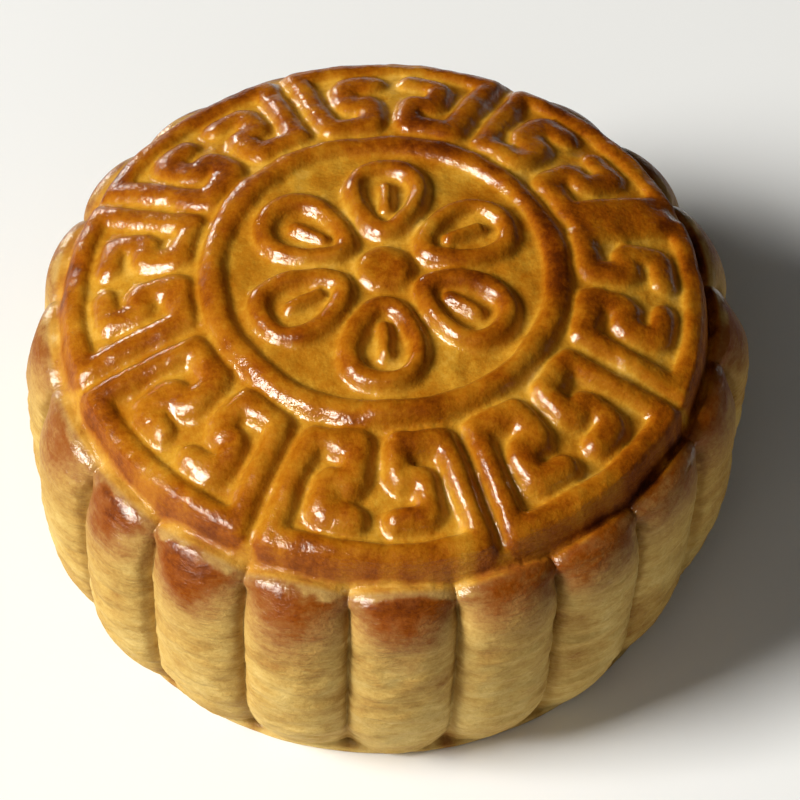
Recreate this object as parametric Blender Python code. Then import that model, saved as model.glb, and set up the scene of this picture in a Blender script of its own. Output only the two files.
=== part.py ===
"""Baked mooncake, pressed in a fluted round mould.

One solid: a fluted, slightly barrelled side wall on a thin round foot, a
gently domed top, and on the top a raised ring, a border of eight key-fret
panels and a six-petalled rosette.  Metres, +Z up, the flat underside on z = 0
and the cake's axis on the Z axis.

All the sizes below are in mould units: 1.0 is the radius of the outer edge of
the fret border.  UNIT turns them into metres.
"""
import bpy
import numpy as np
from math import asin, atan2, ceil, cos, degrees, hypot, pi, radians, sin
from mathutils import Vector
from mathutils.geometry import delaunay_2d_cdt

# ---------------------------------------------------------------- sizes
UNIT = 0.0332              # metres per mould unit: the cake is 75 mm across

# body
FLUTES = 20
FIRST_GROOVE = 10.0        # degrees
# how far each groove strays from even spacing, in degrees
GROOVE_STRAY = (-0.4, 1.2, 0.6, 0.9, 1.2, 1.5, 1.8, 2.1, 2.4, 3.5,
                4.4, 5.4, 3.3, 3.0, 2.5, 2.2, 1.6, 0.8, 1.0, 0.8)
# how far each flute swells beyond the mean crest
FLUTE_SWELL = (0.000, 0.006, -0.008, 0.004, 0.010, -0.004, 0.006, 0.000, -0.006, 0.006,
               0.016, 0.014, 0.000, 0.010, 0.004, 0.014, 0.004, -0.014, 0.004, 0.018)
Z_FOOT = -0.975            # underside, below the edge of the fret border
FOOT_RADIUS = 0.990
FOOT_TOP = -0.948
BELLY_RADIUS = 1.128       # widest, on the crest of a flute
BELLY_Z = -0.30
LEDGE_RADIUS = 1.034       # where the ledge round the border meets the flutes
SHOULDER_RISE = 0.252      # how far the flutes' shoulders rise above BELLY_Z
GROOVE_DEPTH = 0.080       # of the grooves between flutes, at the shoulder
GROOVE_DEPTH_FOOT = 0.042
BODY_SHIFT = (0.010, -0.020)   # the body sits a little off the border's centre
FOOT_SHIFT = (-0.006, -0.024)  # and so does the foot
BODY_OVAL = 0.008          # and is a little oval, longest at 45 degrees
SIDE_LEVELS = (-0.062, -0.080, -0.108, -0.150, -0.215, -0.330, -0.500, -0.670,
               -0.805, -0.900)
FLUTE_COLUMNS = (0.0, 0.07, 0.22, 0.40, 0.60, 0.78, 0.93)

# top
DOME_HEIGHT = 0.190
DOME_POWER = 2.5
LEDGE_DROP = 0.034
MOAT_RADIUS = 1.012        # the moat round the border, deepest on the MOAT_SIDE
MOAT_DEPTH = 0.030
MOAT_SIDE = -12.0          # degrees
RELIEF = 0.046             # height of the ridges
RIDGE_HALF_WIDTH = 0.041
RIDGE_STEPS = ((1.00, 0.0), (0.80, 0.62), (0.42, 1.0))   # (share of width, of height)

# ring
RING_RADIUS = 0.534
RING_HALF_WIDTH = 0.046

# fret border
PANELS = 8
FIRST_GAP = 291.25         # degrees
LEG_OFFSET = 0.053         # from a gap's middle line to each leg beside it
BAR_INNER = 0.637
BAR_OUTER = 0.960
HOOK_UPPER = 0.748
HOOK_LOWER = 0.856
HOOK_MOUTH = 4.5           # degrees from the panel's middle line
HOOK_BACK = 10.8
HOOK_END = 4.0

# where two neighbouring legs ran together
RUN_GAP = 2                # which gap, counted from FIRST_GAP
RUN_FROM, RUN_TO = 0.690, 0.880
RUN_HALF_WIDTH = 0.092
RUN_HEIGHT = 1.0           # share of the ridges' height

# rosette
PETALS = 6
PETAL_ROOT = 0.142
PETAL_TIP = 0.420
PETAL_SPREAD = 0.121       # half width of a petal, on its ridge line
ROSETTE_HALF_WIDTH = 0.030
VEIN_FROM, VEIN_TO = 0.225, 0.325
VEIN_HALF_WIDTH = 0.021
BOSS_RADIUS = 0.084


# ---------------------------------------------------------------- helpers
def polar(r, deg):
    return np.array([r * cos(radians(deg)), r * sin(radians(deg))])


def ease(t):
    t = min(max(t, 0.0), 1.0)
    return t * t * (3.0 - 2.0 * t)


def field_height(x, y):
    """Height of the smooth top, without its ridges."""
    r = hypot(x, y)
    z = DOME_HEIGHT * (1.0 - min(r, 1.0) ** DOME_POWER)
    z -= LEDGE_DROP * ease((r - 0.985) / (LEDGE_RADIUS - 0.985))
    side = 0.5 + 0.5 * cos(atan2(y, x) - radians(MOAT_SIDE))
    near = 1.0 - abs(r - MOAT_RADIUS) / (LEDGE_RADIUS - MOAT_RADIUS)
    return z - MOAT_DEPTH * side * ease(near)


def run_height(x, y):
    """Height of the place where two legs ran together."""
    a = radians(gap_angle(RUN_GAP))
    along, across = x * cos(a) + y * sin(a), -x * sin(a) + y * cos(a)
    past = max(RUN_FROM - along, 0.0, along - RUN_TO)
    d = hypot(past, across) / RUN_HALF_WIDTH
    return RUN_HEIGHT * RELIEF * ease((1.0 - d) / 0.22)


def gap_angle(k):
    return FIRST_GAP + 360.0 / PANELS * k


def arc(r, a0, a1, steps):
    return [polar(r, a0 + (a1 - a0) * i / steps) for i in range(steps + 1)]


def leg_angle(r):
    """A leg runs parallel to its gap, so its angle depends on the radius."""
    return 180.0 / PANELS - degrees(asin(LEG_OFFSET / r))


def fret_path(middle):
    """The one line that draws a panel: hook, leg, outer bar, leg, hook."""
    half = [(HOOK_LOWER, HOOK_END), (HOOK_LOWER, HOOK_BACK), (HOOK_UPPER, HOOK_BACK),
            (HOOK_UPPER, HOOK_MOUTH), (BAR_INNER, HOOK_MOUTH), (BAR_INNER, leg_angle(BAR_INNER))]
    corner = leg_angle(BAR_OUTER)
    left = [polar(r, middle - a) for r, a in half]
    right = [polar(r, middle + a) for r, a in reversed(half)]
    return left + arc(BAR_OUTER, middle - corner, middle + corner, 6) + right


def petal_path(k):
    """A closed leaf shape, pointed at its tip, round at its root."""
    mid = 360.0 / PETALS * (k + 0.5)
    pts = []
    steps = 14
    for i in range(steps):
        t = 2 * pi * i / steps
        along = 0.5 - 0.5 * cos(t)
        r = PETAL_ROOT + (PETAL_TIP - PETAL_ROOT) * along
        w = PETAL_SPREAD * sin(t) * (0.58 + 0.50 * along)
        c = polar(1.0, mid)
        pts.append(np.array([c[0] * r - c[1] * w, c[1] * r + c[0] * w]))
    return pts


def stations(pts, closed):
    """Unit direction and mitre vector at every point of a line."""
    n = len(pts)
    out = []
    for i in range(n):
        a = pts[i] - pts[i - 1] if (closed or i > 0) else None
        b = pts[(i + 1) % n] - pts[i] if (closed or i < n - 1) else None
        a = b if a is None else a
        b = a if b is None else b
        a = a / np.linalg.norm(a)
        b = b / np.linalg.norm(b)
        na, nb = np.array([-a[1], a[0]]), np.array([-b[1], b[0]])
        out.append((a, b, na, nb))
    return out


def offset_side(pts, dist, closed):
    """A line beside pts: mitred on the inside of a bend, rounded outside it."""
    out = []
    for p, (a, b, na, nb) in zip(pts, stations(pts, closed)):
        turn = a[0] * b[1] - a[1] * b[0]
        mitre = (na + nb) / (1.0 + float(na @ nb))
        if turn * dist < -0.35 * abs(dist):
            out.append(p + dist * (0.15 * mitre + 0.85 * na))
            out.append(p + dist * (0.78 * mitre + 0.02 * na + 0.02 * nb) * 1.0)
            out.append(p + dist * (0.15 * mitre + 0.85 * nb))
        else:
            out.append(p + dist * mitre)
    return out


def outline(pts, width, closed, reach):
    """One loop round an open line, or two loops beside a closed one."""
    if closed:
        return [offset_side(pts, width, True), offset_side(pts, -width, True)]
    start, end = stations(pts, False)[0], stations(pts, False)[-1]
    cap_end = [pts[-1] + width * reach * end[1] + s * 0.45 * width * end[3] for s in (1, -1)]
    cap_start = [pts[0] - width * reach * start[0] + s * 0.45 * width * start[2] for s in (-1, 1)]
    left = offset_side(pts, width, False)
    right = offset_side(pts, -width, False)
    return [left + cap_end + right[::-1] + cap_start]


# ---------------------------------------------------------------- the top
class TopMesh:
    """Feature lines on the plan of the top, each with its height."""

    def __init__(self):
        self.points, self.lifts, self.edges = [], [], []

    def loop(self, pts, lift):
        base = len(self.points)
        for p in pts:
            self.points.append(Vector((float(p[0]), float(p[1]))))
            self.lifts.append(lift)
        n = len(pts)
        self.edges += [(base + i, base + (i + 1) % n) for i in range(n)]

    def lift_at(self, p):
        """Height of the highest feature line through a point where two cross."""
        q = np.array([p.x, p.y])
        a = np.array([self.points[i] for i, j in self.edges])
        b = np.array([self.points[j] for i, j in self.edges])
        t = np.clip(((q - a) * (b - a)).sum(1) / ((b - a) ** 2).sum(1), 0.0, 1.0)
        off = np.linalg.norm(a + (b - a) * t[:, None] - q, axis=1)
        return max(self.lifts[self.edges[e][0]] for e in np.nonzero(off < 1e-5)[0])

    def ridge(self, pts, half_width, closed=False, relief=RELIEF, steps=RIDGE_STEPS):
        for share, height in steps:
            for ring in outline(pts, half_width * share, closed, 0.75):
                self.loop(ring, relief * height)


def groove_angles():
    """Azimuths of the grooves between the flutes, in order."""
    return [FIRST_GROOVE + 360.0 / FLUTES * k + stray for k, stray in enumerate(GROOVE_STRAY)]


def side_columns():
    """(azimuth, position across its flute, flute) of every column of the side."""
    g = groove_angles()
    g.append(g[0] + 360.0)
    return [(g[k] + (g[k + 1] - g[k]) * s, s, k) for k in range(FLUTES) for s in FLUTE_COLUMNS]


def crest_radius(z):
    """Radius on the crest of a flute."""
    if z > BELLY_Z:
        t = (z - BELLY_Z) / SHOULDER_RISE
        return LEDGE_RADIUS + (BELLY_RADIUS - LEDGE_RADIUS) * (1.0 - min(t, 1.0) ** 2.2) ** 0.5
    t = (BELLY_Z - z) / (BELLY_Z - Z_FOOT)
    return BELLY_RADIUS - (BELLY_RADIUS - FOOT_RADIUS) * t ** 3


def side_radius(z, s, flute):
    """Radius of the side at height z, s of the way across a flute."""
    arch = (4.0 * s * (1.0 - s)) ** 0.62
    fade = ease((-z - 0.45) / 0.45)
    depth = (GROOVE_DEPTH + (GROOVE_DEPTH_FOOT - GROOVE_DEPTH) * fade) * ease((-z - 0.045) / 0.08)
    swell = FLUTE_SWELL[flute] * ease((-z - 0.045) / 0.15) * ease((z - Z_FOOT) / 0.30)
    return crest_radius(z) - depth * (1.0 - arch) + swell * arch


def side_point(r, a, z):
    """A point of the side: the body is a little oval and off centre."""
    body = ease((-z - 0.040) / 0.12)
    low = z / Z_FOOT
    r *= 1.0 + BODY_OVAL * body * sin(2.0 * radians(a))
    p = polar(r, a)
    dx, dy = (u + (v - u) * low for u, v in zip(BODY_SHIFT, FOOT_SHIFT))
    return (p[0] + dx * body, p[1] + dy * body, z)


def build_top(columns):
    top = TopMesh()
    top.loop([polar(LEDGE_RADIUS, a) for a, s, k in columns], 0.0)
    top.loop([polar(MOAT_RADIUS, 360.0 * i / 96) for i in range(96)], 0.0)
    rim = len(columns)

    ring = [polar(RING_RADIUS, 360.0 * i / 64) for i in range(64)]
    top.ridge(ring, RING_HALF_WIDTH, closed=True)

    for k in range(PANELS):
        middle = gap_angle(k) + 180.0 / PANELS
        top.ridge(fret_path(middle), RIDGE_HALF_WIDTH)

    for k in range(PETALS):
        top.ridge(petal_path(k), ROSETTE_HALF_WIDTH, closed=True, steps=((1.0, 0.0), (0.5, 1.0)))
        mid = 360.0 / PETALS * (k + 0.5)
        top.ridge([polar(VEIN_FROM, mid), polar(VEIN_TO, mid)], VEIN_HALF_WIDTH,
                  relief=0.8 * RELIEF, steps=((1.0, 0.0), (0.5, 1.0)))
    for share, height in ((1.0, 0.0), (0.86, 0.6), (0.5, 1.0)):
        top.loop([polar(BOSS_RADIUS * share, 360.0 * i / 14) for i in range(14)], RELIEF * height)

    mid = gap_angle(RUN_GAP)
    for share in (1.0, 0.86):
        for ring in outline([polar(RUN_FROM, mid), polar(RUN_TO, mid)], RUN_HALF_WIDTH * share,
                            False, 1.0):
            top.loop(ring, 0.0)
    return top, rim


def make_cake():
    columns = side_columns()
    top, rim = build_top(columns)
    found = delaunay_2d_cdt(top.points, top.edges, [], 0, 1e-6)
    plan, tris, source = found[0], found[2], found[3]
    verts, moved = [], {}
    for i, p in enumerate(plan):
        lift = max(top.lifts[j] for j in source[i]) if source[i] else top.lift_at(p)
        for j in source[i]:
            moved[j] = i
        verts.append((p.x, p.y, field_height(p.x, p.y) + max(lift, run_height(p.x, p.y))))
    faces = [tuple(t) for t in tris]

    above = [moved[i] for i in range(rim)]
    rows = [(z, False) for z in SIDE_LEVELS] + [(FOOT_TOP + 0.008, False), (FOOT_TOP, True), (Z_FOOT, True)]
    for z, foot in rows:
        below = []
        for a, s, k in columns:
            r = side_radius(z, s, k)
            if foot:
                r = max(r, FOOT_RADIUS) if z > Z_FOOT else FOOT_RADIUS - 0.004
            below.append(len(verts))
            verts.append(side_point(r, a, z))
        for i in range(rim):
            j = (i + 1) % rim
            faces.append((above[i], below[i], below[j], above[j]))
        above = below
    hub = len(verts)
    verts.append(side_point(0.0, 0.0, Z_FOOT))
    faces += [(above[(i + 1) % rim], above[i], hub) for i in range(rim)]

    # the axis goes through the middle of the plan, the underside on z = 0
    mid = [(min(v[i] for v in verts) + max(v[i] for v in verts)) / 2 for i in (0, 1)]
    mesh = bpy.data.meshes.new("mooncake")
    mesh.from_pydata([((x - mid[0]) * UNIT, (y - mid[1]) * UNIT, (z - Z_FOOT) * UNIT)
                      for x, y, z in verts], [], faces)
    mesh.validate()
    mesh.shade_smooth()
    mesh.set_sharp_from_angle(angle=radians(50))
    return mesh


def crust():
    mat = bpy.data.materials.new("baked_crust")
    mat.use_nodes = True
    bsdf = mat.node_tree.nodes["Principled BSDF"]
    bsdf.inputs["Base Color"].default_value = (0.50, 0.21, 0.045, 1.0)
    bsdf.inputs["Roughness"].default_value = 0.32
    bsdf.inputs["Metallic"].default_value = 0.0
    return mat


for old in list(bpy.data.objects):
    bpy.data.objects.remove(old, do_unlink=True)

cake = bpy.data.objects.new("mooncake", make_cake())
cake.data.materials.append(crust())
bpy.context.scene.collection.objects.link(cake)
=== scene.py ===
"""The baked mooncake as it looks: one glazed, browned crust round the frame's plain solid.

The crust repeats the solid's own sizes, in mould units (1.0 is the outer radius
of the fret border), and adds what baking does: rounded, slightly wavering
ridges, wrinkled sides and uneven browning.
"""

from math import asin, atan2, cos, degrees, hypot, pi, radians, sin

import bpy
import numpy as np
from mathutils import Matrix, Vector
from mathutils.geometry import delaunay_2d_cdt


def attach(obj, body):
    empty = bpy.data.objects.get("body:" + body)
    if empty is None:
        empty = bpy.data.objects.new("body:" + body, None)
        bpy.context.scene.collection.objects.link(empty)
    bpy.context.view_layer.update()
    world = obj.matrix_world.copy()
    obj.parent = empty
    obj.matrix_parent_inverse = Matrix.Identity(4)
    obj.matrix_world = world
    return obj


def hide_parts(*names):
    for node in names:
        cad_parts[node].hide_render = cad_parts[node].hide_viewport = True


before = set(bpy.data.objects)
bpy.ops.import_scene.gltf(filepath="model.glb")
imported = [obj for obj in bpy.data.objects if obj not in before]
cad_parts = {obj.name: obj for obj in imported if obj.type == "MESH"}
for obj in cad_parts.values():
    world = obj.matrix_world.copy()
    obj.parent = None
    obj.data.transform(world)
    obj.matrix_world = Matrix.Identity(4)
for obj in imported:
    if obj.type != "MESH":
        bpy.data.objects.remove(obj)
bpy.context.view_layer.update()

# ---------------------------------------------------------------- sizes of the solid
UNIT = 0.0332
AXIS_SHIFT = (0.010541, -0.018458)   # from the border's centre to the Z axis

FLUTES = 20
FIRST_GROOVE = 10.0
GROOVE_STRAY = (-0.4, 1.2, 0.6, 0.9, 1.2, 1.5, 1.8, 2.1, 2.4, 3.5,
                4.4, 5.4, 3.3, 3.0, 2.5, 2.2, 1.6, 0.8, 1.0, 0.8)
FLUTE_SWELL = (0.000, 0.006, -0.008, 0.004, 0.010, -0.004, 0.006, 0.000, -0.006, 0.006,
               0.016, 0.014, 0.000, 0.010, 0.004, 0.014, 0.004, -0.014, 0.004, 0.018)
Z_FOOT = -0.975
FOOT_RADIUS = 0.990
FOOT_TOP = -0.948
BELLY_RADIUS = 1.128
BELLY_Z = -0.30
LEDGE_RADIUS = 1.034
LEDGE_Z = -0.034
SHOULDER_RISE = 0.252
GROOVE_DEPTH = 0.080
GROOVE_DEPTH_FOOT = 0.042
BODY_SHIFT = (0.010, -0.020)
FOOT_SHIFT = (-0.006, -0.024)
BODY_OVAL = 0.008

DOME_HEIGHT = 0.190
DOME_POWER = 2.5
LEDGE_DROP = 0.034
MOAT_RADIUS = 1.012
MOAT_DEPTH = 0.030
MOAT_SIDE = -12.0
RELIEF = 0.046
RIDGE_HALF_WIDTH = 0.041

RING_RADIUS = 0.534
RING_HALF_WIDTH = 0.046

PANELS = 8
FIRST_GAP = 291.25
LEG_OFFSET = 0.053
BAR_INNER = 0.637
BAR_OUTER = 0.960
HOOK_UPPER = 0.748
HOOK_LOWER = 0.856
HOOK_MOUTH = 4.5
HOOK_BACK = 10.8
HOOK_END = 4.0
# half width of the hook in each half panel, clockwise half first
HOOK_HALF_WIDTH = (0.046, 0.047, 0.045, 0.048, 0.048, 0.055, 0.044, 0.050,
                   0.049, 0.049, 0.046, 0.046, 0.049, 0.048, 0.050, 0.042)
HOOK_UPPER_STRAY = (0.002, 0.002, 0.000, 0.004, 0.002, -0.008, 0.000, 0.006,
                    0.004, 0.000, 0.002, 0.004, 0.012, 0.008, 0.012, -0.003)

RUN_GAP = 2
RUN_FROM, RUN_TO = 0.690, 0.880
RUN_HALF_WIDTH = 0.092

PETALS = 6
PETAL_ROOT = 0.142
PETAL_TIP = 0.420
PETAL_SPREAD = 0.121
ROSETTE_HALF_WIDTH = 0.030
VEIN_FROM, VEIN_TO = 0.225, 0.325
VEIN_HALF_WIDTH = 0.021
BOSS_RADIUS = 0.084

# ---------------------------------------------------------------- fineness
CELLS = 1536                 # raster of the top
SPAN = 1.08
STEP = 2 * SPAN / CELLS
FLUTE_POINTS = 30            # columns on a flute
SIDE_STEP = 0.0105           # spacing of points on the top
RIM_SCALLOP = 0.016          # how far the flutes already shape the ledge's edge
RIM_DIP = 0.045              # how far that edge sinks at each groove
DIP_TO = -0.26

# ---------------------------------------------------------------- smooth fields
def ease(t):
    t = np.clip(t, 0.0, 1.0)
    return t * t * (3.0 - 2.0 * t)


def frequencies(shape, step):
    fy = np.fft.fftfreq(shape[0], step[0])[:, None]
    fx = np.fft.rfftfreq(shape[1], step[1])[None, :]
    return fy, fx


def blur(image, sigma, step=(STEP, STEP)):
    fy, fx = frequencies(image.shape, step)
    sy, sx = sigma if isinstance(sigma, tuple) else (sigma, sigma)
    gain = np.exp(-2.0 * pi ** 2 * ((sy * fy) ** 2 + (sx * fx) ** 2))
    return np.fft.irfft2(np.fft.rfft2(image) * gain, image.shape)


def noise(seed, size, shape=(CELLS, CELLS), step=(STEP, STEP)):
    """A smooth random field of unit deviation with features about size across."""
    white = np.random.default_rng(seed).standard_normal(shape)
    sy, sx = size if isinstance(size, tuple) else (size, size)
    out = blur(white, (sy * 0.35, sx * 0.35), step)
    return (out - out.mean()) / out.std()


def sample(image, x, y):
    """Values of a raster of the top at points, between its cells."""
    u = np.clip((np.asarray(x) + SPAN) / STEP - 0.5, 0, CELLS - 1.001)
    v = np.clip((np.asarray(y) + SPAN) / STEP - 0.5, 0, CELLS - 1.001)
    i, j = v.astype(int), u.astype(int)
    a, b = v - i, u - j
    return ((image[i, j] * (1 - b) + image[i, j + 1] * b) * (1 - a)
            + (image[i + 1, j] * (1 - b) + image[i + 1, j + 1] * b) * a)


def to_segments(px, py, pts):
    """Distance from every point to an open line."""
    best = np.full(px.shape, 9.0)
    for (ax, ay), (bx, by) in zip(pts[:-1], pts[1:]):
        dx, dy = bx - ax, by - ay
        t = np.clip(((px - ax) * dx + (py - ay) * dy) / (dx * dx + dy * dy), 0.0, 1.0)
        best = np.minimum(best, np.hypot(px - ax - t * dx, py - ay - t * dy))
    return best


def polar(r, deg):
    return r * cos(radians(deg)), r * sin(radians(deg))


def grooves():
    return [FIRST_GROOVE + 360.0 / FLUTES * k + stray for k, stray in enumerate(GROOVE_STRAY)]


def flute_at(turn):
    """(position across its flute from 0 to 1, flute) at azimuths in radians."""
    g = np.radians(grooves())
    t = (turn - g[0]) % (2 * pi) + g[0]
    edges = np.append(g, g[0] + 2 * pi)
    k = np.clip(np.searchsorted(edges, t, "right") - 1, 0, FLUTES - 1)
    return np.clip((t - edges[k]) / (edges[k + 1] - edges[k]), 0.0, 1.0), k


def flute_arch(s, power):
    return (4.0 * s * (1.0 - s)) ** power


def rim_dip(s):
    return RIM_DIP * (1.0 - flute_arch(s, 0.7))


def rim_radius(s):
    """Radius of the ledge's outer edge."""
    return LEDGE_RADIUS - RIM_SCALLOP * (1.0 - flute_arch(s, 0.42))


# ---------------------------------------------------------------- the pressed pattern
line = (np.arange(CELLS) + 0.5) * STEP - SPAN
X, Y = np.meshgrid(line, line)
R, AZ = np.hypot(X, Y), np.degrees(np.arctan2(Y, X))


def pattern():
    """How far each cell of the top is up the side of a ridge, from 0 to 1."""
    wx = X + 0.0024 * noise(11, 0.22) + 0.0009 * noise(12, 0.06)
    wy = Y + 0.0024 * noise(13, 0.22) + 0.0009 * noise(14, 0.06)
    r, az = np.hypot(wx, wy), np.degrees(np.arctan2(wy, wx))
    wide = 1.0 + 0.055 * np.clip(noise(15, 0.14), -2, 2)

    def mound(distance, half_width, power=0.62):
        """Rounded cross-section of a pressed ridge."""
        t = np.clip(distance / (half_width * wide), 0.0, 1.0)
        return (1.0 - t ** 2.2) ** power

    def softened(pts):
        """The same line with its corners cut off."""
        cut = [pts[0]]
        for (ax, ay), (bx, by) in zip(pts[:-1], pts[1:]):
            cut += [(0.86 * ax + 0.14 * bx, 0.86 * ay + 0.14 * by),
                    (0.14 * ax + 0.86 * bx, 0.14 * ay + 0.86 * by)]
        return cut + [pts[-1]]

    # a fret panel is much the same on both sides of its middle line
    turn = (az - FIRST_GAP) % (360.0 / PANELS) - 180.0 / PANELS
    a = np.abs(turn)
    u, v = r * np.cos(np.radians(a)), r * np.sin(np.radians(a))
    which = 2 * (((az - FIRST_GAP) % 360.0) // (360.0 / PANELS)).astype(int) + (turn > 0)

    def leg(radius):
        return 180.0 / PANELS - degrees(asin(LEG_OFFSET / radius))

    corner = leg(BAR_OUTER)
    frame_line = [polar(BAR_INNER, HOOK_MOUTH + 1.5), polar(BAR_INNER, leg(BAR_INNER)),
                  polar(BAR_OUTER, corner)]
    fret = to_segments(u, v, frame_line)
    fret = np.minimum(fret, np.where(a <= corner, np.abs(r - BAR_OUTER), 9.0))
    high = mound(fret, RIDGE_HALF_WIDTH * 1.07)
    for half, (hook_wide, upper) in enumerate(zip(HOOK_HALF_WIDTH, HOOK_UPPER_STRAY)):
        grow = hook_wide - RIDGE_HALF_WIDTH
        mouth = HOOK_MOUTH + degrees(grow * 0.55 / BAR_INNER)
        end = HOOK_END + degrees(grow * 0.80 / HOOK_LOWER)
        hook = softened([polar(HOOK_LOWER + 0.004, end), polar(HOOK_LOWER + 0.004, HOOK_BACK),
                         polar(HOOK_UPPER + upper, HOOK_BACK), polar(HOOK_UPPER + upper, mouth),
                         polar(BAR_INNER, mouth), polar(BAR_INNER, mouth + 5.0)])
        near = (which == half) & (r > 0.56) & (r < 0.94) & (a < 18.0)
        d = np.full(X.shape, 9.0)
        d[near] = to_segments(u[near], v[near], hook)
        high = np.maximum(high, mound(d, hook_wide, 0.58))
    high = np.maximum(high, mound(np.abs(r - RING_RADIUS), RING_HALF_WIDTH * 0.98))

    # rosette
    for k in range(PETALS):
        mid = radians(360.0 / PETALS * (k + 0.5))
        pu, pv = wx * cos(mid) + wy * sin(mid), -wx * sin(mid) + wy * cos(mid)
        leaf = []
        for i in range(41):
            t = 2 * pi * i / 40
            along = 0.5 - 0.5 * cos(t)
            leaf.append((PETAL_ROOT + (PETAL_TIP - PETAL_ROOT) * along,
                         PETAL_SPREAD * sin(t) * (0.58 + 0.50 * along)))
        near = (pu > 0.05) & (pu < 0.50) & (np.abs(pv) < 0.20)
        d = np.full(X.shape, 9.0)
        d[near] = to_segments(pu[near], pv[near], leaf)
        high = np.maximum(high, mound(d, ROSETTE_HALF_WIDTH * 1.22))
        d[near] = to_segments(pu[near], pv[near], [(VEIN_FROM, 0.0), (VEIN_TO, 0.0)])
        high = np.maximum(high, mound(d, VEIN_HALF_WIDTH * 1.25) * 0.90)
    high = np.maximum(high, mound(r, BOSS_RADIUS * 1.03, 0.42))

    # narrow gaps between ridges are partly filled
    crowd = blur(high, 0.022)
    high = high + (1.0 - high) * 0.30 * ease((crowd - 0.46) / 0.30)

    # where two legs ran together
    g = radians(FIRST_GAP + 360.0 / PANELS * RUN_GAP)
    along, across = wx * cos(g) + wy * sin(g), -wx * sin(g) + wy * cos(g)
    past = np.maximum(np.maximum(RUN_FROM - along, 0.0), along - RUN_TO)
    run = ease((1.0 - np.hypot(past, across) / RUN_HALF_WIDTH) / 0.30)
    high = np.maximum(high, run * 0.97)
    return np.clip(0.68 * blur(high, 0.0054) + 0.32 * blur(high, 0.0125), 0.0, 1.0), run


RIDGE, RUN = pattern()


rim_here = rim_radius(flute_at(np.radians(AZ))[0])
dip_here = rim_dip(flute_at(np.radians(AZ))[0]) * ease((R - 0.994) / (rim_here - 0.994))

# the pattern came out crisp at the front and shallower at the back and sides
SIDE_RELIEF = ((0, 0.66), (22, 0.64), (45, 0.74), (90, 0.72), (135, 0.66), (180, 0.64), (205, 0.70),
               (228, 0.76), (250, 0.88), (272, 0.97), (292, 1.00), (318, 1.00), (338, 0.86))
share = np.interp(AZ % 360.0, *zip(*SIDE_RELIEF), period=360.0)
share = 0.84 + (share - 0.84) * ease((R - 0.25) / 0.25)
relief_here = RELIEF * blur(share, 0.03)
lift = RELIEF - relief_here


def field_height():
    """The smooth top, without its ridges."""
    z = lift + DOME_HEIGHT * (1.0 - np.minimum(R, 1.0) ** DOME_POWER)
    out = np.clip((R - 0.986) / (rim_here - 0.986), 0.0, 1.0)
    z = z - (LEDGE_DROP + lift) * ease(out / 0.62)
    side = (0.5 + 0.5 * np.cos(np.radians(AZ - MOAT_SIDE))) ** 2
    return z - MOAT_DEPTH * side * ease(1.0 - np.abs(out - 0.52) / 0.48) - dip_here


inside = ease((rim_here - 0.004 - R) / 0.03)
uneven = 0.0030 * noise(21, 0.22) + 0.0016 * noise(22, 0.07) + 0.0008 * noise(23, 0.03)
rim_rough = 0.0032 * np.clip(noise(25, 0.026), -2, 1.0) * ease((R - 0.995) / 0.015) * inside
HEIGHT = (field_height() - 0.004 * inside + uneven * inside + rim_rough
          + relief_here * 1.02 * RIDGE * (1.0 + 0.07 * np.clip(noise(24, 0.20), -2, 1.0)))


# ---------------------------------------------------------------- points of the top
def contour_lines(image, level):
    """Closed lines of one value on the raster, as arrays of points."""
    n = CELLS
    up = image > level
    i, j = np.nonzero(up[:, 1:] != up[:, :-1])
    t = (level - image[i, j]) / (image[i, j + 1] - image[i, j])
    across = dict(zip((i * n + j).tolist(), zip(line[j] + t * STEP, line[i])))
    i, j = np.nonzero(up[1:, :] != up[:-1, :])
    t = (level - image[i, j]) / (image[i + 1, j] - image[i, j])
    place = dict(across)
    place.update(zip((n * n + i * n + j).tolist(), zip(line[j], line[i] + t * STEP)))

    corners = up[:-1, :-1] * 1 + up[:-1, 1:] * 2 + up[1:, 1:] * 4 + up[1:, :-1] * 8
    ci, cj = np.nonzero((corners > 0) & (corners < 15))
    code = corners[ci, cj]
    low, right = ci * n + cj, n * n + ci * n + cj + 1
    high, left = (ci + 1) * n + cj, n * n + ci * n + cj
    ends = {1: (left, low), 14: (left, low), 2: (low, right), 13: (low, right), 4: (right, high),
            11: (right, high), 8: (high, left), 7: (high, left), 3: (left, right),
            12: (left, right), 6: (low, high), 9: (low, high)}
    pairs = []
    for c, (a, b) in ends.items():
        at = code == c
        pairs += zip(a[at].tolist(), b[at].tolist())
    for c, joined in ((5, ((left, low), (right, high))), (10, ((low, right), (high, left)))):
        at = code == c
        for a, b in joined:
            pairs += zip(a[at].tolist(), b[at].tolist())
    link = {}
    for a, b in pairs:
        link.setdefault(a, []).append(b)
        link.setdefault(b, []).append(a)
    lines, seen = [], set()
    for start in link:
        if start in seen:
            continue
        seen.add(start)
        walk, here = [start], start
        while True:
            ahead = [k for k in link[here] if k not in seen]
            if not ahead:
                break
            here = ahead[0]
            seen.add(here)
            walk.append(here)
        lines.append(np.array([place[k] for k in walk]))
    return lines


def respaced(points, gap):
    """The same closed line with points gap apart."""
    closed = np.vstack([points, points[:1]])
    run = np.concatenate([[0.0], np.cumsum(np.hypot(*np.diff(closed, axis=0).T))])
    count = max(int(round(run[-1] / gap)), 3)
    at = np.linspace(0.0, run[-1], count, endpoint=False)
    return np.stack([np.interp(at, run, closed[:, 0]), np.interp(at, run, closed[:, 1])], 1)


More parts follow.
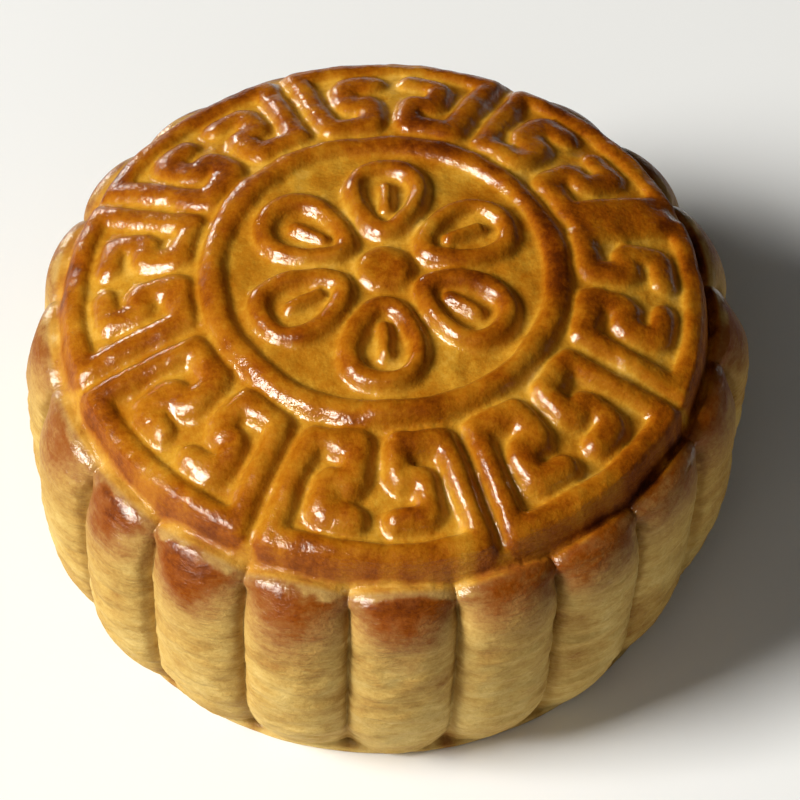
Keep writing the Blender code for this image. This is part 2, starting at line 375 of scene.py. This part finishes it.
def thinned(points, taken, clear):
    """Marks the cells near each kept point and drops points that fall on a marked cell."""
    reach = int(clear / STEP)
    disc = [(a, b) for a in range(-reach, reach + 1) for b in range(-reach, reach + 1)
            if a * a + b * b <= (clear / STEP) ** 2]
    kept = []
    for x, y in points:
        i, j = int((y + SPAN) / STEP), int((x + SPAN) / STEP)
        if taken[i, j]:
            continue
        kept.append((x, y))
        for a, b in disc:
            taken[i + a, j + b] = True
    return kept


def top_points():
    taken = R > rim_here - 0.0055
    kept = []
    for level in (0.50, 0.22, 0.78, 0.06, 0.92):
        for points in contour_lines(RIDGE, level):
            if len(points) > 12:
                kept += thinned(respaced(points, 0.0094), taken, 0.0052)
    rows = int(2 * LEDGE_RADIUS / (SIDE_STEP * 0.866)) + 1
    fill = []
    for i in range(rows):
        y = -LEDGE_RADIUS + i * SIDE_STEP * 0.866
        x = np.arange(-LEDGE_RADIUS, LEDGE_RADIUS, SIDE_STEP) + (0.5 * SIDE_STEP if i % 2 else 0.0)
        fill += [(a, y) for a in x if hypot(a, y) < LEDGE_RADIUS]
    kept += thinned(fill, taken, 0.0062)
    return kept


# ---------------------------------------------------------------- the side
TURN = 2400                  # raster of the side: azimuth by distance down it
DOWN = 512
SIDE_LENGTH = 1.1
side_step = (SIDE_LENGTH / DOWN, 2 * pi / TURN)


def side_noise(seed, size):
    return noise(seed, size, (DOWN, TURN), side_step)


def side_sample(image, turn, down):
    """Values of a raster of the side: turn in radians, down in mould units."""
    u = (np.asarray(turn) / (2 * pi) * TURN) % TURN
    v = np.clip(np.asarray(down) / SIDE_LENGTH * DOWN, 0, DOWN - 1.001)
    j, i = u.astype(int) % TURN, v.astype(int)
    b, a = u - np.floor(u), v - i
    k = (j + 1) % TURN
    return ((image[i, j] * (1 - b) + image[i, k] * b) * (1 - a)
            + (image[i + 1, j] * (1 - b) + image[i + 1, k] * b) * a)


def side_columns():
    """(azimuth, position across its flute, flute) of every column of the side."""
    g = grooves()
    g.append(g[0] + 360.0)
    at = np.arange(FLUTE_POINTS) / FLUTE_POINTS
    at = at - 0.62 * np.sin(2 * pi * at) / (2 * pi)     # closer together near the grooves
    return [(g[k] + (g[k + 1] - g[k]) * s, s, k) for k in range(FLUTES) for s in at]


def crest_radius(z):
    if z > BELLY_Z:
        t = (z - BELLY_Z) / (LEDGE_Z - 0.002 - BELLY_Z)
        return LEDGE_RADIUS + (BELLY_RADIUS - LEDGE_RADIUS) * (1.0 - min(t, 1.0) ** 2.2) ** 0.5
    t = (BELLY_Z - z) / (BELLY_Z - Z_FOOT)
    return BELLY_RADIUS - (BELLY_RADIUS - FOOT_RADIUS) * t ** 3


def side_levels():
    """Heights of the side's rows, close together on the shoulder."""
    shoulder = [BELLY_Z + (LEDGE_Z - 0.002 - BELLY_Z) * cos(radians(q)) ** (1 / 1.1)
                for q in np.linspace(9.0, 90.0, 20)]
    wall = list(np.linspace(BELLY_Z, FOOT_TOP + 0.010, 42)[1:])
    return shoulder + wall


COLUMNS = side_columns()
column_az = np.radians([c[0] for c in COLUMNS])
column_s = np.array([c[1] for c in COLUMNS])
column_flute = np.array([c[2] for c in COLUMNS])
swell = np.array(FLUTE_SWELL)[column_flute]

side_rough = (0.0040 * side_noise(31, (0.30, 0.22)) + 0.0028 * side_noise(32, (0.034, 0.13))
              + 0.0018 * side_noise(33, (0.022, 0.040)))


def side_row(z, down):
    """The side's points at one height."""
    end = ease((-z - 0.70) / 0.24)
    arch = flute_arch(column_s, 0.42 + 0.38 * end)
    arch = np.minimum((arch ** 3 + 0.24 ** 3) ** (1 / 3), 1.0)      # rounded at the groove's bottom
    fade = ease((-z - 0.45) / 0.45)
    depth = (GROOVE_DEPTH + (GROOVE_DEPTH_FOOT - GROOVE_DEPTH) * fade) * 1.12 + 0.014 * end
    depth = RIM_SCALLOP + (depth - RIM_SCALLOP) * ease((-z - 0.034) / 0.080)
    r = crest_radius(z) - depth * (1.0 - arch)
    r = r + swell * ease((-z - 0.045) / 0.15) * ease((z - Z_FOOT) / 0.30) * arch
    low = z / Z_FOOT
    body = ease((-z - 0.040) / 0.12)
    wrinkle = side_sample(side_rough, column_az, np.full(column_az.shape, down))
    r = r + (np.clip(wrinkle, -0.02, 0.0065) - 0.0096) * ease((-z - 0.10) / 0.22)
    r = r * (1.0 + BODY_OVAL * body * np.sin(2.0 * column_az))
    dx, dy = (a + (b - a) * low for a, b in zip(BODY_SHIFT, FOOT_SHIFT))
    sunk = z - rim_dip(column_s) * ease((z - DIP_TO) / (LEDGE_Z - DIP_TO))
    return np.stack([r * np.cos(column_az) + dx * body, r * np.sin(column_az) + dy * body, sunk], 1)


# ---------------------------------------------------------------- the whole skin
def make_skin():
    rim = len(COLUMNS)
    edge = [(r * cos(a), r * sin(a)) for r, a in zip(rim_radius(column_s), column_az)]
    points = edge + top_points()
    found = delaunay_2d_cdt([Vector(p) for p in points],
                            [(i, (i + 1) % rim) for i in range(rim)], [], 1, 1e-6)
    plan = np.array([(p.x, p.y) for p in found[0]])
    came = {}
    for i, source in enumerate(found[3]):
        for j in source:
            came[j] = i
    verts = [np.column_stack([plan, sample(HEIGHT, plan[:, 0], plan[:, 1])])]
    rim_ids = np.array([came[i] for i in range(rim)])
    verts[0][rim_ids, 2] = LEDGE_Z - rim_dip(column_s)
    faces = [np.array(found[2], dtype=np.int64)]
    part = [np.zeros(len(plan))]
    level = [np.full(len(plan), LEDGE_Z)]
    down_at = [np.zeros(len(plan))]

    count = len(plan)
    above = rim_ids
    levels = side_levels()
    down, last = 0.0, (LEDGE_RADIUS, LEDGE_Z)

    def add_row(p, z, d, kind):
        nonlocal above, count
        verts.append(p)
        part.append(np.full(rim, kind))
        level.append(np.full(rim, z))
        down_at.append(np.full(rim, d))
        below = np.arange(count, count + rim)
        count += rim
        nxt, under = np.roll(above, -1), np.roll(below, -1)
        # alternating diagonals across the quads
        flip = (np.arange(rim) % 2 == 0)[:, None]
        one = np.stack([above, below, under], 1)
        two = np.stack([above, under, nxt], 1)
        three = np.stack([above, below, nxt], 1)
        four = np.stack([below, under, nxt], 1)
        faces.append(np.where(flip, one, three))
        faces.append(np.where(flip, two, four))
        above = below

    for z in levels:
        r = crest_radius(z)
        down += hypot(r - last[0], z - last[1])
        last = (r, z)
        add_row(side_row(z, down), z, down, 1.0)
    # the thin foot, then the flat underside
    p = side_row(FOOT_TOP, down + 0.01)
    centre = np.array([FOOT_SHIFT[0], FOOT_SHIFT[1]])
    out = np.stack([np.cos(column_az), np.sin(column_az)], 1)
    for z, r in ((FOOT_TOP + 0.001, FOOT_RADIUS - 0.010), (FOOT_TOP - 0.004, FOOT_RADIUS - 0.001),
                 (-0.964, FOOT_RADIUS - 0.001), (-0.972, FOOT_RADIUS - 0.006), (Z_FOOT, FOOT_RADIUS - 0.014)):
        down += 0.01
        foot = centre + out * (r + 0.0012 * side_sample(side_rough, column_az,
                                                        np.full(rim, 0.5))[:, None] / 0.0045)
        if z > FOOT_TOP:
            wall = np.hypot(p[:, 0] - centre[0], p[:, 1] - centre[1])
            use = np.maximum(wall, FOOT_RADIUS - 0.010)
            foot = centre + out * use[:, None]
        add_row(np.column_stack([foot, np.full(rim, z)]), z, down, 2.0)
    base_ids = above
    base_xy = verts[-1][:, :2]
    inner = []
    gap = 0.030
    for i in range(int(2.0 / (gap * 0.866)) + 1):
        y = -1.0 + i * gap * 0.866
        for x in np.arange(-1.0, 1.0, gap) + (gap / 2 if i % 2 else 0.0):
            if hypot(x, y) < FOOT_RADIUS - 0.014 - 0.6 * gap:
                inner.append((x + centre[0], y + centre[1]))
    base = delaunay_2d_cdt([Vector(p) for p in base_xy.tolist() + inner],
                           [(i, (i + 1) % rim) for i in range(rim)], [], 0, 1e-7)
    ids = np.empty(len(base[0]), dtype=np.int64)
    fresh = []
    for i, source in enumerate(base[3]):
        if source and min(source) < rim:
            ids[i] = base_ids[min(source)]
        else:
            ids[i] = count + len(fresh)
            fresh.append((base[0][i].x, base[0][i].y, Z_FOOT))
    verts.append(np.array(fresh))
    part.append(np.full(len(fresh), 3.0))
    level.append(np.full(len(fresh), Z_FOOT))
    down_at.append(np.full(len(fresh), down))
    faces.append(ids[np.array(base[2], dtype=np.int64)][:, ::-1])
    return (np.vstack(verts), np.vstack(faces), np.concatenate(part), np.concatenate(level),
            np.concatenate(down_at))


verts, faces, part, level, down = make_skin()
x, y, z = verts.T
az, rad = np.arctan2(y, x) % (2 * pi), np.hypot(x, y)
on_top = part < 0.5

# ---------------------------------------------------------------- what baking did to it
def spot(px, py, across, along, turn):
    """A soft oval patch on the top."""
    c, s = cos(radians(turn)), sin(radians(turn))
    u, v = (x - px) * c + (y - py) * s, -(x - px) * s + (y - py) * c
    return np.exp(-((u / along) ** 2 + (v / across) ** 2))


top_x, top_y = np.where(on_top, x, 0.0), np.where(on_top, y, 0.0)
ridge = np.where(on_top, sample(RIDGE, top_x, top_y), 0.0)
hollow = sample(blur(RIDGE, 0.030) - RIDGE, top_x, top_y)
mottle = sample(noise(41, 0.30), top_x, top_y)
fleck = sample(noise(42, 0.055), top_x, top_y)
grain = sample(noise(43, 0.022), top_x, top_y)
run_at = sample(RUN, top_x, top_y)

blur_mid = sample(noise(44, 0.12), top_x, top_y)
outer = ease((rad - 0.966) / 0.020) * on_top          # outside the border's crest


def by_panel(values):
    """A value for each fret panel, blended from one panel to the next."""
    mid = [(FIRST_GAP + 360.0 / PANELS * (i + 0.5)) % 360.0 for i in range(PANELS)]
    return np.interp(np.degrees(az), *zip(*sorted(zip(mid, values))), period=360.0)


outside = ease((rad - 0.575) / 0.03)                  # outside the ring
ridge_tone = outside * by_panel((0.00, 0.03, -0.01, 0.05, 0.03, -0.03, -0.12, -0.05))
field_tone = outside * by_panel((-0.01, -0.01, -0.03, -0.01, 0.00, -0.02, 0.01, 0.01))
ring_tone = by_panel((0.00, 0.05, 0.13, 0.01, 0.01, -0.10, -0.10, -0.11))
crowded = sample(blur(RIDGE, 0.028), top_x, top_y)     # high spots brown more

brown_top = 0.400 + 0.205 * ease((ridge - 0.14) / 0.62)
brown_top = brown_top + outer * (0.68 - brown_top) * ease((ridge - 0.02) / 0.12)
brown_top = brown_top + 0.07 * ease((crowded - 0.60) / 0.30) * ridge
front = ease((np.cos(az - radians(222.0)) - 0.30) / 0.5)
brown_top = brown_top + 0.03 * front * ease((rad - 0.905) / 0.03) * ridge
brown_top = brown_top + ring_tone * ease(1.0 - np.abs(rad - RING_RADIUS) / 0.07) * ridge
brown_top = brown_top + field_tone + (ridge_tone - field_tone) * ease((ridge - 0.14) / 0.62)
brown_top = brown_top + 0.036 * mottle + 0.040 * blur_mid + 0.036 * fleck + 0.018 * grain
brown_top = brown_top + 0.03 * run_at
for px, py, size, much in ((0.27, 0.28, 0.085, 0.16), (-0.05, 0.33, 0.05, 0.05), (0.06, -0.20, 0.06, 0.06)):
    brown_top = brown_top + much * spot(px, py, size * 0.8, size, 25.0) * (1.0 - 0.6 * ridge)
ledge = ease((rad - 0.998) / 0.012) * (1.0 - ridge) * on_top
east = ease((np.cos(az - radians(MOAT_SIDE)) - 0.32) / 0.55)
# painted shadow: on the right the ledge is browned darker where the border bar shades it
brown_top = brown_top + ledge * (-0.05 + 0.06 * fleck + 0.42 * east)

across, k = flute_at(az)
crest = 1.0 - np.abs(2.0 * across - 1.0)            # 0 in a groove, 1 on the crest

# how low each flute browned
REACH = (-0.10, -0.13, -0.15, -0.17, -0.14, -0.16, -0.18, -0.15, -0.14, -0.14,
         -0.13, -0.135, -0.175, -0.190, -0.160, -0.110, -0.100, -0.110, -0.110, -0.100)
# and how dark
DEPTH = (0.47,) * 12 + (0.45, 0.39, 0.45, 0.43) + (0.47,) * 4
left = ease((np.cos(az - radians(180.0)) - 0.75) / 0.2)
right_front = ease((np.cos(az - radians(322.0)) - 0.70) / 0.2)
right = ease((np.cos(az - radians(0.0)) - 0.30) / 0.5)
s1 = side_sample(side_noise(51, (0.10, 0.10)), az, down)
s2 = side_sample(side_noise(52, (0.030, 0.036)), az, down)
s3 = side_sample(side_noise(53, (0.30, 0.26)), az, down)
s4 = side_sample(side_noise(54, (0.022, 0.16)), az, down)
line_z = np.array(REACH)[k] + 0.006 + 0.11 * (1.0 - ease(crest * 1.15)) * (1.0 - 0.7 * right_front) + 0.030 * s1 + 0.026 * s2
cap = np.clip((level - line_z) / 0.17 + 0.5, 0, 1) ** 1.15
cap = cap * np.maximum(ease((crest + 0.03 * s2) / 0.11), (0.8 + 0.2 * right_front) * ease((level + 0.13 + 0.01 * s2) / 0.05))
# the rim is pale but for the right front: partly its own paler crust, partly a painted highlight along the rim's
# rounding
cap = cap * (1.0 - (1.0 - right_front) * (1.0 - ease((-level - 0.037 + 0.006 * s2) / 0.018)))
tint = ease((level - line_z + 0.19) / 0.20)         # the edge below the browned cap: browner, with a greyish sheen painted on it
brown_side = (0.15 + 0.036 * s3 + 0.044 * s1 + 0.034 * s2 + 0.008 * s4
              + 0.10 * ease((level + 0.75) / 0.5) + 0.12 * tint
              + (np.array(DEPTH)[k] - 0.18 * left - 0.11 * right) * cap
              # painted shade: darker at the foot of each groove, the shaded triangle where the flutes taper
              + 0.20 * ease((-z - 0.80) / 0.12) * ease(1.0 - crest / 0.30))
brown = np.where(on_top, brown_top, brown_side)

wash = np.where(on_top, 1.0 - outer * (0.7 + 0.28 * east), 0.10 * ease((level + 0.25 + 0.02 * s1 + 0.02 * s2) / 0.12)
                + 0.80 * ease((level + 0.062 + 0.006 * s2) / 0.020))
wash = np.where(part > 1.5, 0.10, wash)
# painted shade: the grooves between the flutes are darkened, partly their own olive colour, widening into a dark
# triangle at the foot
low = ease((-z - 0.74) / 0.20)
groove_olive_and_shade = ease(1.0 - crest / (0.15 + 0.04 * s2 + 0.34 * low)) * (0.70 + 0.30 * ease((level + 0.55) / 0.25))
groove_olive_and_shade = np.where((part > 0.5) & (z > FOOT_TOP), np.clip(groove_olive_and_shade, 0, 1) * ease((-level - 0.060) / 0.05), 0.0)
under = np.where(part > 2.5, 1.0, 0.0)
on_side = np.where(part > 0.5, 1.0, 0.0)
# painted sheen: greyish band under each cap, and on the ledge away from the right
grey_edge_and_sheen = np.where(part == 1.0, tint * (1.0 - cap), 0.7 * ledge * (1.0 - east))

# ---------------------------------------------------------------- mesh
mesh = bpy.data.meshes.new("mooncake_crust")
place = np.empty_like(verts)
place[:, 0] = (x - AXIS_SHIFT[0]) * UNIT
place[:, 1] = (y - AXIS_SHIFT[1]) * UNIT
place[:, 2] = (z - Z_FOOT) * UNIT
mesh.vertices.add(len(verts))
mesh.vertices.foreach_set("co", place.astype(np.float32).ravel())
mesh.loops.add(len(faces) * 3)
mesh.loops.foreach_set("vertex_index", faces.astype(np.int32).ravel())
mesh.polygons.add(len(faces))
mesh.polygons.foreach_set("loop_start", np.arange(0, len(faces) * 3, 3, dtype=np.int32))
mesh.update(calc_edges=True)
mesh.validate()
mesh.shade_smooth()
for name, values in (("brown", brown), ("wash", wash), ("groove_olive_and_shade", groove_olive_and_shade), ("ridge", ridge),
                     ("under", under), ("side", on_side), ("grey_edge_and_sheen", grey_edge_and_sheen)):
    mesh.attributes.new(name, "FLOAT", "POINT").data.foreach_set("value", values.astype(np.float32))
print("crust: %d points, %d triangles" % (len(verts), len(faces)))


# ---------------------------------------------------------------- material
def srgb(r, g, b):
    def one(c):
        c /= 255.0
        return c / 12.92 if c <= 0.04045 else ((c + 0.055) / 1.055) ** 2.4
    return (one(r), one(g), one(b), 1.0)


class Graph:
    """Short calls for building a node tree."""

    def __init__(self, material):
        material.use_nodes = True
        self.tree = material.node_tree
        self.tree.nodes.clear()

    def node(self, kind, inputs=(), **settings):
        n = self.tree.nodes.new(kind)
        for key, value in settings.items():
            setattr(n, key, value)
        for key, value in dict(inputs).items():
            socket = n.inputs[key]
            if isinstance(value, bpy.types.NodeSocket):
                self.tree.links.new(value, socket)
            else:
                socket.default_value = value
        return n

    def attribute(self, name):
        return self.node("ShaderNodeAttribute", attribute_name=name).outputs["Fac"]

    def math(self, operation, a, b=0.0, c=0.0, clamp=False):
        n = self.node("ShaderNodeMath", operation=operation, use_clamp=clamp)
        for socket, value in zip(n.inputs, (a, b, c)):
            if isinstance(value, bpy.types.NodeSocket):
                self.tree.links.new(value, socket)
            else:
                socket.default_value = value
        return n.outputs[0]

    def noise(self, vector, scale, detail=3.0, rough=0.5, distortion=0.0):
        return self.node("ShaderNodeTexNoise", {"Vector": vector, "Scale": scale, "Detail": detail,
                                                "Roughness": rough, "Distortion": distortion}).outputs["Fac"]

    def ramp(self, fac, stops, mode="LINEAR"):
        n = self.node("ShaderNodeValToRGB", {"Fac": fac})
        n.color_ramp.interpolation = mode
        while len(n.color_ramp.elements) < len(stops):
            n.color_ramp.elements.new(0.5)
        for e, (at, colour) in zip(n.color_ramp.elements, stops):
            e.position = at
            e.color = colour
        return n.outputs["Color"]

    def mix(self, fac, a, b, blend="MIX"):
        n = self.node("ShaderNodeMix", data_type="RGBA", blend_type=blend)
        for socket, value in ((n.inputs[0], fac), (n.inputs[6], a), (n.inputs[7], b)):
            if isinstance(value, bpy.types.NodeSocket):
                self.tree.links.new(value, socket)
            else:
                socket.default_value = value
        return n.outputs[2]


def crust_material():
    mat = bpy.data.materials.new("baked_crust_glazed")
    g = Graph(mat)
    spot = g.node("ShaderNodeTexCoord").outputs["Object"]
    metre = g.node("ShaderNodeMapping", {"Vector": spot, "Scale": (1000.0, 1000.0, 1000.0)}).outputs[0]
    flat = g.node("ShaderNodeMapping", {"Vector": spot, "Scale": (520.0, 520.0, 2100.0)}).outputs[0]

    brown, wash = g.attribute("brown"), g.attribute("wash")
    groove_olive_and_shade, ridge = g.attribute("groove_olive_and_shade"), g.attribute("ridge")
    under = g.attribute("under")

    speckle = g.noise(metre, 1.9, 4.0, 0.68)
    cloud = g.noise(metre, 0.16, 3.0, 0.55)
    creases = g.noise(flat, 1.0, 3.0, 0.62, 0.6)
    side, grey_edge_and_sheen = g.attribute("side"), g.attribute("grey_edge_and_sheen")
    fine = g.math("MULTIPLY_ADD", speckle, 0.36, -0.18)
    soft = g.math("MULTIPLY_ADD", cloud, 0.12, -0.06)
    lines = g.math("MULTIPLY", g.math("MULTIPLY_ADD", creases, 0.30, -0.15), side)
    level = g.math("ADD", g.math("ADD", brown, fine), g.math("ADD", soft, lines))
    top = g.ramp(level, [
        (0.00, srgb(228, 200, 132)),
        (0.20, srgb(208, 159, 64)),
        (0.34, srgb(193, 138, 38)),
        (0.46, srgb(176, 115, 24)),
        (0.58, srgb(163, 96, 12)),
        (0.70, srgb(140, 72, 5)),
        (0.84, srgb(100, 43, 3)),
        (1.00, srgb(62, 25, 8)),
    ])
    flank = g.ramp(level, [
        (0.00, srgb(214, 184, 112)),
        (0.20, srgb(195, 159, 86)),
        (0.34, srgb(177, 137, 69)),
        (0.46, srgb(157, 111, 54)),
        (0.58, srgb(138, 82, 30)),
        (0.70, srgb(130, 63, 5)),
        (0.84, srgb(100, 43, 3)),
        (1.00, srgb(62, 25, 8)),
    ])
    # redder blotches where the glaze caught
    blotch = g.math("MULTIPLY_ADD", g.noise(metre, 0.42, 4.0, 0.6), 3.2, -1.55, clamp=True)
    blotch = g.math("MULTIPLY", blotch, g.math("MULTIPLY", ridge, 0.55))
    top = g.mix(blotch, top, g.mix(1.0, top, srgb(255, 222, 180), "MULTIPLY"))
    colour = g.mix(side, top, flank)
    # a greyish band under each browned cap and on the ledge: partly the crust's own matt colour, partly painted
    # sheen
    colour = g.mix(g.math("MULTIPLY", grey_edge_and_sheen, 0.28), colour, srgb(158, 108, 72))
    # the grooves between the flutes are darkened olive brown: partly their own colour, partly painted shade
    groove_shaded_colour = g.mix(1.0, colour, srgb(164, 136, 66), "MULTIPLY")
    colour = g.mix(g.math("MULTIPLY", groove_olive_and_shade, 0.60), colour, groove_shaded_colour)
    # the underside, browned where it met the tray
    tray = g.ramp(g.noise(metre, 0.22, 5.0, 0.6), [
        (0.30, srgb(196, 146, 78)), (0.50, srgb(168, 104, 42)), (0.70, srgb(128, 66, 22))])
    colour = g.mix(under, colour, tray)

    dull = g.math("MULTIPLY_ADD", g.noise(metre, 0.9, 3.0, 0.6), 0.16, 0.48)
    glossy = g.math("MULTIPLY_ADD", g.noise(metre, 0.7, 3.0, 0.6), 0.16, 0.36)
    rough = g.node("ShaderNodeMix", {0: wash, 2: dull, 3: glossy}, data_type="FLOAT").outputs[0]

    pores = g.noise(metre, 2.6, 3.0, 0.6)
    dimple = g.noise(metre, 1.35, 2.0, 0.55)
    not_wash = g.math("SUBTRACT", 1.0, wash)
    relief = g.math("MULTIPLY", creases, g.math("MULTIPLY", not_wash, 1.6))
    relief = g.math("ADD", relief, g.math("MULTIPLY", pores, 0.55))
    relief = g.math("ADD", relief, g.math("MULTIPLY", dimple, 0.60))
    bump = g.node("ShaderNodeBump", {"Height": relief, "Strength": 0.60, "Distance": 0.00018}).outputs[0]

    p = g.node("ShaderNodeBsdfPrincipled", {
        "Base Color": colour, "Roughness": rough, "Normal": bump, "Metallic": 0.0, "IOR": 1.42,
        "Specular IOR Level": 0.05,
        "Coat Weight": g.math("MULTIPLY", wash, 0.85), "Coat Roughness": 0.06, "Coat IOR": 1.46,
        "Coat Normal": bump,
    })
    g.node("ShaderNodeOutputMaterial", {"Surface": p.outputs[0]})
    return mat


crust = bpy.data.objects.new("mooncake_crust", mesh)
bpy.context.scene.collection.objects.link(crust)
mesh.materials.append(crust_material())
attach(crust, "root")
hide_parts("mooncake")

# ---------------------------------------------------------------- floor, light, camera
floor = bpy.data.meshes.new("floor")
half = 1.2
floor.from_pydata([(-half, -half, 0), (half, -half, 0), (half, half, 0), (-half, half, 0)], [],
                  [(0, 1, 2, 3)])
floor_obj = bpy.data.objects.new("floor", floor)
bpy.context.scene.collection.objects.link(floor_obj)
paint = bpy.data.materials.new("pale_floor")
f = Graph(paint)
shade = f.noise(f.node("ShaderNodeTexCoord").outputs["Object"], 6.0, 2.0, 0.5)
p = f.node("ShaderNodeBsdfPrincipled", {
    "Base Color": f.ramp(shade, [(0.3, (0.86, 0.86, 0.84, 1)), (0.7, (0.89, 0.89, 0.87, 1))]),
    "Roughness": 0.55})
f.node("ShaderNodeOutputMaterial", {"Surface": p.outputs[0]})
floor.materials.append(paint)


def softbox(name, azimuth, elevation, distance, size, watts, colour=(1, 1, 1), gleam=False):
    """An area light aimed at the cake; azimuth 0 is +X, 90 is +Y."""
    lamp = bpy.data.lights.new(name, "AREA")
    lamp.shape = "RECTANGLE"
    lamp.size, lamp.size_y = size
    lamp.energy = watts
    lamp.color = colour
    o = bpy.data.objects.new(name, lamp)
    a, e = radians(azimuth), radians(elevation)
    way = Vector((cos(a) * cos(e), sin(a) * cos(e), sin(e)))
    o.location = way * distance + Vector((0, 0, 0.02))
    o.rotation_euler = way.to_track_quat("Z", "Y").to_euler()
    o.visible_glossy, o.visible_diffuse = gleam, not gleam   # gleam: a window seen only in the glaze
    bpy.context.scene.collection.objects.link(o)
    return o


softbox("key", 198, 40, 1.60, (0.60, 0.60), 39.5, (1.0, 0.99, 0.97))
softbox("fill", 265, 50, 0.80, (0.6, 0.5), 0.8, (1.0, 0.99, 0.96))
softbox("window_front", 217, 35, 0.60, (0.255, 0.22), 6.7, (1.0, 0.96, 0.84), gleam=True)
softbox("window_side", 203, 34, 0.60, (0.13, 0.11), 1.6, (1.0, 0.96, 0.84), gleam=True)
softbox("window_left", 196, 43, 0.60, (0.05, 0.18), 0.4, (1.0, 0.96, 0.84), gleam=True)
softbox("window_back", 122, 4, 0.60, (0.08, 0.08), 0.7, (1.0, 0.97, 0.88), gleam=True)

world = bpy.data.worlds.new("studio")
world.use_nodes = True
world.node_tree.nodes["Background"].inputs["Color"].default_value = (0.95, 0.97, 1.0, 1.0)
world.node_tree.nodes["Background"].inputs["Strength"].default_value = 0.010
world.cycles_visibility.glossy = False
bpy.context.scene.world = world
bpy.context.scene.view_settings.view_transform = "Standard"

# The camera looks down at 51 degrees from 12 mould units away.
PIXELS = 3870.66             # focal length over the picture's 800
DISTANCE = 12.0
ELEVATION = radians(51.12)
ROLL = radians(-0.65)
AIM = (400.0 - 382.77, 400.0 - 309.49)      # picture's middle from the border's centre

back = Vector((0.0, -cos(ELEVATION), sin(ELEVATION)))
side, up = Vector((1.0, 0.0, 0.0)), Vector((0.0, sin(ELEVATION), cos(ELEVATION)))
u = AIM[0] * cos(ROLL) + AIM[1] * sin(ROLL)
v = -AIM[0] * sin(ROLL) + AIM[1] * cos(ROLL)
look = (side * u - up * v - back * PIXELS).normalized()
tilted_up = up * cos(ROLL) + side * sin(ROLL)
right = look.cross(tilted_up).normalized()
over = right.cross(look)
lens = bpy.data.cameras.new("camera")
lens.sensor_width = 36.0
lens.lens = PIXELS / 800.0 * 36.0
lens.clip_start, lens.clip_end = 0.01, 10.0
camera = bpy.data.objects.new("camera", lens)
centre = Vector((-AXIS_SHIFT[0], -AXIS_SHIFT[1], -Z_FOOT)) * UNIT
camera.matrix_world = Matrix.Translation(centre + back * DISTANCE * UNIT) @ Matrix(
    (right, over, -look)).transposed().to_4x4()
bpy.context.scene.collection.objects.link(camera)
bpy.context.scene.camera = camera
